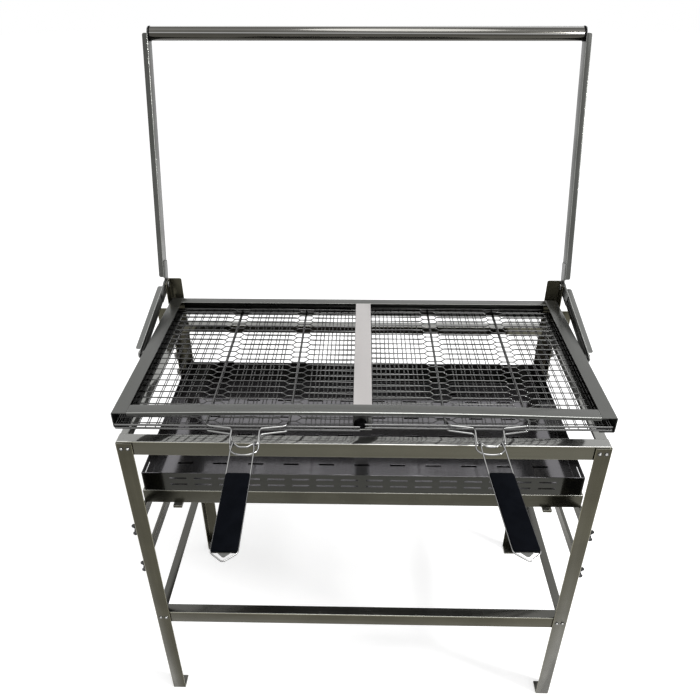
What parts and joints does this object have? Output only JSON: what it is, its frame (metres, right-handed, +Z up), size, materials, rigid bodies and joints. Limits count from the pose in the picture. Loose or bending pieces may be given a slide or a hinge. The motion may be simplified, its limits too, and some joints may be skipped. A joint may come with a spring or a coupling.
{
  "type": "flip grill",
  "caption": "Free-standing charcoal grill with a sliding ember tray and a lever that lifts and turns over a grate frame holding wire baskets with folding handles.",
  "frame": {"origin": "on the floor, under the middle of the overall width and depth, from the handles' tips to the back of the tube", "axes": "+Z up, +Y from the user's side towards the rear posts, +X to the right"},
  "size_m": [0.956, 0.8893, 1.383],
  "materials": {
    "stand_paint": "dark olive grey paint, satin",
    "tray_paint": "dark grey, satin",
    "lever_steel": "dull grey steel",
    "tube_chrome": "polished",
    "grate_steel": "dull folded sheet steel",
    "basket_wire": "bright wire",
    "fastener_steel": "dull",
    "black_plastic": "black, satin",
    "grip_plastic": "blue black, satin"
  },
  "bodies": {
    "stand": {"left_front_leg": "stand_paint", "right_front_leg": "stand_paint", "left_rear_post": "stand_paint", "right_rear_post": "stand_paint", "left_front_foot": "stand_paint", "right_front_foot": "stand_paint", "left_rear_foot": "stand_paint", "right_rear_foot": "stand_paint", "top_front_rail": "stand_paint", "top_rear_rail": "stand_paint", "top_left_rail": "stand_paint", "top_right_rail": "stand_paint", "low_front_rail": "stand_paint", "low_rear_rail": "stand_paint", "low_left_rail": "stand_paint", "low_right_rail": "stand_paint", "upper_left_runner": "stand_paint", "upper_right_runner": "stand_paint", "lower_left_runner": "stand_paint", "lower_right_runner": "stand_paint", "left_stop_bracket": "stand_paint", "right_stop_bracket": "stand_paint", "upper_left_wing_nut": "fastener_steel", "upper_right_wing_nut": "fastener_steel", "lower_left_wing_nut": "fastener_steel", "lower_right_wing_nut": "fastener_steel", "left_hinge_bolt": "fastener_steel", "right_hinge_bolt": "fastener_steel"},
    "tray": {"charcoal_tray": "tray_paint", "carrier_front_rail": "stand_paint", "carrier_rear_rail": "stand_paint", "carrier_left_bar": "stand_paint", "carrier_right_bar": "stand_paint", "ash_sheet": "tray_paint"},
    "lever": {"left_lower_arm": "lever_steel", "right_lower_arm": "lever_steel", "left_upper_arm": "lever_steel", "right_upper_arm": "lever_steel", "left_elbow_plate": "lever_steel", "right_elbow_plate": "lever_steel", "handle_tube": "tube_chrome", "left_tube_plug": "black_plastic", "right_tube_plug": "black_plastic"},
    "grate": {"grate_left_channel": "grate_steel", "grate_right_channel": "grate_steel", "grate_rear_channel": "grate_steel", "grate_front_strip": "grate_steel", "grate_top_strip": "grate_steel", "grate_bottom_strip": "grate_steel", "left_pivot_bolt": "fastener_steel", "right_pivot_bolt": "fastener_steel"},
    "knob": {"centre_knob": "black_plastic"},
    "left_basket": {"left_upper_net": "basket_wire", "left_lower_net": "basket_wire"},
    "right_basket": {"right_upper_net": "basket_wire", "right_lower_net": "basket_wire"},
    "left_handle": {"left_handle_wire": "basket_wire", "left_grip": "grip_plastic"},
    "right_handle": {"right_handle_wire": "basket_wire", "right_grip": "grip_plastic"}
  },
  "joints": [
    {"name": "lift", "type": "hinge", "parent": "stand", "child": "lever", "pos_m": [0, 0.2825, 0.862], "axis": [-1, 0, 0], "range_deg": [0, 120]},
    {"name": "grate_turn", "type": "hinge", "parent": "lever", "child": "grate", "pos_m": [0, 0.0592, 0.813], "axis": [-1, 0, 0], "range_deg": [0, 60]},
    {"name": "knob_turn", "type": "hinge", "parent": "grate", "child": "knob", "pos_m": [-0.0035, -0.1475, 0.803], "axis": [0, 0, 1], "continuous": true},
    {"name": "left_basket_slide", "type": "slide", "parent": "grate", "child": "left_basket", "axis": [0, -1, 0], "range_m": [0, 0.3]},
    {"name": "right_basket_slide", "type": "slide", "parent": "grate", "child": "right_basket", "axis": [0, -1, 0], "range_m": [0, 0.3]},
    {"name": "left_handle_fold", "type": "hinge", "parent": "left_basket", "child": "left_handle", "pos_m": [-0.2035, -0.207, 0.801], "axis": [-1, 0, 0], "range_deg": [0, 95]},
    {"name": "right_handle_fold", "type": "hinge", "parent": "right_basket", "child": "right_handle", "pos_m": [0.2205, -0.1995, 0.801], "axis": [-1, 0, 0], "range_deg": [0, 95]},
    {"name": "tray_slide", "type": "slide", "parent": "stand", "child": "tray", "axis": [0, -1, 0], "range_m": [0, 0.05]}
  ],
  "couplings": [
    {"joint": "grate_turn", "follows": "lift", "ratio": 0.5}
  ]
}
